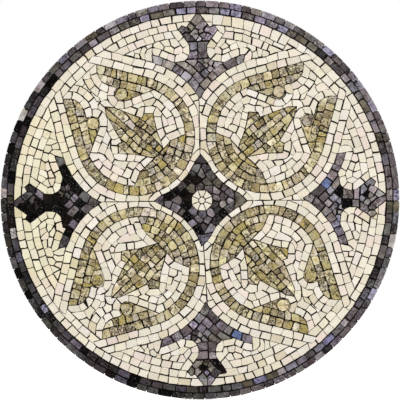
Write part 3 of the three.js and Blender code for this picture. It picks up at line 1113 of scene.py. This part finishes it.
# How each mark in the marble is drawn: scale, detail, roughness and twist of its noise, and where it fades in
marks = {
    "cloud": {"noise": (100, 3.0), "fade": (0.38, 0.64)},
    "warm": {"noise": (130, 2.0, 0.5, 0.6), "fade": (0.48, 0.64)},
    "patch": {"noise": (230, 3.0, 0.6, 0.9), "fade": (0.57, 0.69)},
    "vein": {"noise": (75, 3.0, 0.55, 1.4), "fade": (0.004, 0.03)},
    "speck": {"noise": (430, 2.0), "fade": (0.6, 0.68)},
    "grain": {"noise": (1500, 1.0)},
}
face = {"glintFade": 0.08, "fewerSpecks": 0.4, "grainRough": 0.16, "jointShadeRough": 0.35, "bump": 0.0004,
        "bumps": {"patch": 0.6, "speck": 0.3, "grain": 0.12}}
# painted shade darkens the stones' sides in the joints below a height, though not round the panel's outer rim, and
# glue shows near the back
jointShade = {"from": 8.9, "to": 8.0, "rim": 303.6, "rimTo": 304.1, "ragged": 0.8, "glue": "cfc8b8", "glueAbove": 1.15,
        "glueFade": 0.2, "glueNoise": (60, 3.0), "glueFrom": (0.45, 0.65), "glueShare": 0.6}


def marbleMaterial(kind):
    marble = marbles[kind]
    material, bench, here = newMaterial(kind + "Marble")
    grainAt, base, mottle = [bench.make("ShaderNodeAttribute", {"attribute_name": name}, (), out)
                             for name, out in (("grainAt", "Vector"), ("stoneTint", "Color"), ("mottle", "Fac"))]
    place = bench.vector("ADD", [here, grainAt])
    raw = {}
    for key, mark in marks.items():
        scale, *others = mark["noise"]
        coarse = marble["coarse"] if key in ("cloud", "warm", "patch") else 1
        raw[key] = bench.noise(place, scale * coarse, *others)
    share = mottle * marble["mottled"]
    fade = face["glintFade"]
    pale = (1 - raw["speck"] + mottle * fade).between(marble["glintAt"], marble["glintAt"] + fade)
    drawn = {**raw, "patch": raw["patch"] + share, "speck": raw["speck"] + share * face["fewerSpecks"],
             "vein": (raw["vein"] - 0.5).math("ABSOLUTE")}
    masks = {key: drawn[key].between(*mark["fade"]) for key, mark in marks.items() if "fade" in mark}
    masks["vein"] = (1 - masks["vein"]) * mottle
    color = base
    for key, mask in masks.items():
        color = bench.mix(mask * marble[key], color, marble[key + "Color"], marble["blend"])
        if key == "vein":
            color = bench.mix(pale * marble["glint"], color, marble["glintColor"])

    across, depth, up = bench.parts(here)
    front = depth * -1 / mm
    radius = (across * across + up * up).math("SQRT") / mm
    # painted shade: below a height the stones' sides darken towards the marble's near-black joint colour, except
    # round the panel's outer rim; the same band is rougher
    joint = jointShade["from"] - front + (raw["grain"] - 0.5) * jointShade["ragged"]
    joint = joint.between(0, jointShade["from"] - jointShade["to"]) * (1 - radius.between(jointShade["rim"], jointShade["rimTo"]))
    residue = bench.noise(place, *jointShade["glueNoise"]).between(*jointShade["glueFrom"]) * jointShade["glueShare"]
    glue = (jointShade["glueAbove"] - front).between(0, jointShade["glueFade"]) * residue
    # the painted joint shade, with pale glue over it near the back
    color = bench.mix(joint * (1 - glue), color, marble["jointShade"])
    color = bench.mix(glue, color, jointShade["glue"])
    roughness = marble["roughness"] + (raw["grain"] - 0.5) * face["grainRough"] + joint * face["jointShadeRough"]
    height = sum(raw[key] * share for key, share in face["bumps"].items())
    bench.finish(color, roughness, marble["relief"], face["bump"], height, **{"Specular IOR Level": marble["gloss"]})
    return material


cutter = stoneTree()
finishes = {kind: marbleMaterial(kind) for kind in marbles}
pieces = {}
for name, group in stones.items():
    sizes = {**stoneSizes, "Seed": group["seed"], "Material": finishes[group["kind"]]}
    pieces[name] = grow(drawStones(name, group), cutter, sizes, name + "_stones")
    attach(pieces[name], "root")
    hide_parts(*group["nodes"])
print("stones split:", sum(len(piece.data.polygons) for piece in pieces.values()), "faces,",
      sum(len(p.vertices) - 2 for piece in pieces.values() for p in piece.data.polygons), "triangles")


# The woven glass-fibre mesh the stones are glued to
weave = {"Radius": 302.0, "Pitch": 5.2, "Width": 0.95, "Thick": 0.34, "Wave": 0.2, "Middle": 0.4, "Wander": 0.35,
         "Seed": 9}
fibre = {"clean": "e9e7de", "soiled": "cfc7b2", "strand": "a9a18e", "strandScale": 900.0, "soilScale": 28.0,
         "soilFrom": (0.4, 0.7), "strandFrom": (0.5, 0.75), "strandShare": 0.4, "roughness": (0.45, 0.3)}


def weaveTree():
    bench, given = newTree("glassMesh", weave)
    pitch, radius, width = [given[key] * mm for key in ("Pitch", "Radius", "Width")]
    half = (radius / pitch).math("FLOOR")
    size, count = half * 2 * pitch, half * 2 + 1
    grid = bench.make("GeometryNodeMeshGrid", None, [size, size, count, count])
    position = bench.make("GeometryNodeInputPosition")
    outside = bench.vector("LENGTH", [position], "Value") > radius - width
    disc = bench.make("GeometryNodeDeleteGeometry", {"domain": "POINT"},
                      {"Geometry": grid, "Selection": outside})
    column, row = [(line / pitch).math("ROUND") for line in bench.parts(position)[:2]]
    odd = (column + row).math("FLOORED_MODULO", 2.0)
    ends = bench.make("GeometryNodeInputMeshEdgeVertices", None, (), "Position 1")
    run = bench.parts(ends)[0] - bench.parts(bench.also(ends, "Position 2"))[0]
    upright = run.math("ABSOLUTE") < pitch / 2
    strands = []
    for spare, sign, line, axis in ((upright, 1.0, row, "Y"), (1 - upright, -1.0, column, "X")):
        lines = bench.make("GeometryNodeDeleteGeometry", {"domain": "EDGE", "mode": "EDGE_FACE"},
                           {"Geometry": disc, "Selection": spare})
        curve = bench.make("GeometryNodeMeshToCurve", None, [lines])
        wander = bench.make("FunctionNodeRandomValue", {"data_type": "FLOAT"},
                            {"Min": -1.0, "Max": 1.0, "ID": line, "Seed": given["Seed"]})
        lift = (odd * 2 - 1) * sign * given["Wave"] * mm
        shift = bench.make("ShaderNodeCombineXYZ", None, {axis: wander * given["Wander"] * mm, "Z": lift})
        laid = bench.make("GeometryNodeSetPosition", None, {"Geometry": curve, "Offset": shift})
        laid = bench.make("GeometryNodeSetCurveNormal", {"mode": "Z_UP"}, [laid])
        band = bench.make("GeometryNodeCurvePrimitiveQuadrilateral", {"mode": "RECTANGLE"},
                          {"Width": width, "Height": given["Thick"] * mm})
        strands.append(bench.make("GeometryNodeCurveToMesh", None,
                                  {"Curve": laid, "Profile Curve": band, "Fill Caps": True}))
    joined = bench.make("GeometryNodeJoinGeometry", None, [strands])
    drop = bench.make("ShaderNodeCombineXYZ", None, {"Y": given["Middle"] * -mm})
    made = bench.make("GeometryNodeTransform", None,
                      {"Geometry": joined, "Translation": drop, "Rotation": (math.pi / 2, 0, 0)})
    return finishTree(bench, made, given["Material"])


def fibreMaterial():
    material, bench, here = newMaterial("glassFibre")
    strand = bench.noise(here, fibre["strandScale"])
    soiled = bench.noise(here, fibre["soilScale"], 4.0)
    color = bench.mix(soiled.between(*fibre["soilFrom"]), fibre["clean"], fibre["soiled"])
    color = bench.mix(strand.between(*fibre["strandFrom"]) * fibre["strandShare"], color, fibre["strand"])
    smooth, rougher = fibre["roughness"]
    bench.finish(color, smooth + soiled * rougher, 0.4, 0.0002, strand)
    return material


start = newObject("meshStart", bpy.data.meshes.new("meshStart"))
backing = grow(start, weaveTree(), {**weave, "Material": fibreMaterial()}, "woven_mesh")
faceOutward(backing.data)
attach(backing, "root")
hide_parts("mesh_backing")
print("mesh woven:", len(backing.data.polygons), "faces")


# Adhesive that has risen between the stones from the mesh; its dark brown colours are painted shade at the floor of
# the joints
adhesive = {"radius": 303.4, "rings": 60, "around": 240, "low": 1.5, "high": 2.4, "rough": 0.22, "ragged": 0.4,
            "seed": 4, "dark": "1f1913", "light": "352c22", "mottleScale": 70.0, "gritScale": 800.0,
            "mottleFrom": (0.35, 0.7), "roughness": (0.7, 0.2)}


def adhesiveFilmAsShade():
    dice = random.Random(adhesive["seed"])
    corners, faces = [], []
    rings, around = adhesive["rings"], adhesive["around"]
    for height, way in ((adhesive["low"], 1), (adhesive["high"], -1)):
        centre = len(corners)
        for ring in range(rings + 1):
            for i in range(around if ring else 1):
                angle = 2 * math.pi * i / around
                depth = height + dice.uniform(-1, 1) * adhesive["rough"]
                edge = dice.uniform(-adhesive["ragged"], 0) if ring == rings else 0
                radius = adhesive["radius"] * ring / rings + edge
                corners.append((radius * math.cos(angle) * mm, -depth * mm, radius * math.sin(angle) * mm))
        for i in range(around):
            j = (i + 1) % around
            faces.append([centre, centre + 1 + i, centre + 1 + j][::way])
            for first in range(centre + 1, centre + 1 + (rings - 1) * around, around):
                faces.append([first + i, first + around + i, first + around + j, first + j][::way])
    last, above = 1 + (rings - 1) * around, 1 + rings * around
    for i in range(around):
        j = (i + 1) % around
        faces.append([last + i, above + last + i, above + last + j, last + j])
    mesh = bpy.data.meshes.new("adhesive")
    mesh.from_pydata(corners, [], faces)
    faceOutward(mesh)
    material, bench, here = newMaterial("adhesiveFilmAsShade")
    grit = bench.noise(here, adhesive["gritScale"])
    mottled = bench.noise(here, adhesive["mottleScale"], 4.0).between(*adhesive["mottleFrom"])
    # painted shade: dark brown mottling for the floor of the joints
    color = bench.mix(mottled, adhesive["dark"], adhesive["light"])
    smooth, rougher = adhesive["roughness"]
    bench.finish(color, smooth + grit * rougher, 0.6, 0.0004, grit)
    mesh.materials.append(material)
    return newObject("adhesive", mesh)


film = adhesiveFilmAsShade()
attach(film, "root")
print("adhesive spread")


# Floor, light and camera
studio = {
    "floor": -0.3052, "floorHalf": 6.0, "floorColors": ("f6f4f0", "f4f2ee"), "floorGlow": 0.6, "sky": 0.46,
    "distance": 5.0, "face": -0.01, "across": 0.61153, "sensor": 36.0,
    "lights": {
        "key": {"place": (-1.9, -2.9, 2.3), "size": 1.6, "power": 57.0},
        "fill": {"place": (2.4, -2.6, 0.9), "size": 2.4, "power": 24.0},
        "back": {"place": (0.4, 2.2, 2.2), "size": 2.0, "power": 45.0},
    },
}

for name, given in studio["lights"].items():
    light = bpy.data.lights.new(name + "Light", "AREA")
    light.shape = "DISK"
    light.size = given["size"]
    light.energy = given["power"]
    lamp = newObject(name + "Light", light)
    lamp.location = given["place"]
    lamp.rotation_mode = "QUATERNION"
    lamp.rotation_quaternion = (-Vector(given["place"])).to_track_quat("-Z", "Y")

half = studio["floorHalf"]
floorMesh = bpy.data.meshes.new("floor")
floorMesh.from_pydata([(x * half, y * half, studio["floor"]) for x, y in ((-1, -1), (1, -1), (1, 1), (-1, 1))],
                      [], [(0, 1, 2, 3)])
floor = newObject("floor", floorMesh)
floorPaint, bench, here = newMaterial("floorPaint")
dapple = bench.noise(here, 3.0, 3.0)
bench.finish(bench.mix(dapple, *studio["floorColors"]), 0.8, 0.0, 0.001, dapple,
             **{"Emission Color": (1, 1, 1, 1), "Emission Strength": studio["floorGlow"]})
floorMesh.materials.append(floorPaint)

world = bpy.data.worlds.new("studio")
bpy.context.scene.world = world
world.use_nodes = True
world.node_tree.nodes.clear()
bench = Bench(world.node_tree)
seen = bench.make("ShaderNodeLightPath", None, (), "Is Camera Ray")
strength = seen * (1 - studio["sky"]) + studio["sky"]
sky = bench.make("ShaderNodeBackground", None, {"Color": (1, 1, 1, 1), "Strength": strength})
bench.make("ShaderNodeOutputWorld", None, {"Surface": sky})

camera = newObject("camera", bpy.data.cameras.new("camera"))
camera.data.sensor_width = studio["sensor"]
camera.data.lens = studio["sensor"] * studio["distance"] / studio["across"]
camera.data.clip_end = 100
camera.location = (0, studio["face"] - studio["distance"], 0)
camera.rotation_euler = (math.pi / 2, 0, 0)
bpy.context.scene.camera = camera
bpy.context.scene.view_settings.view_transform = "Standard"
print("stage set")
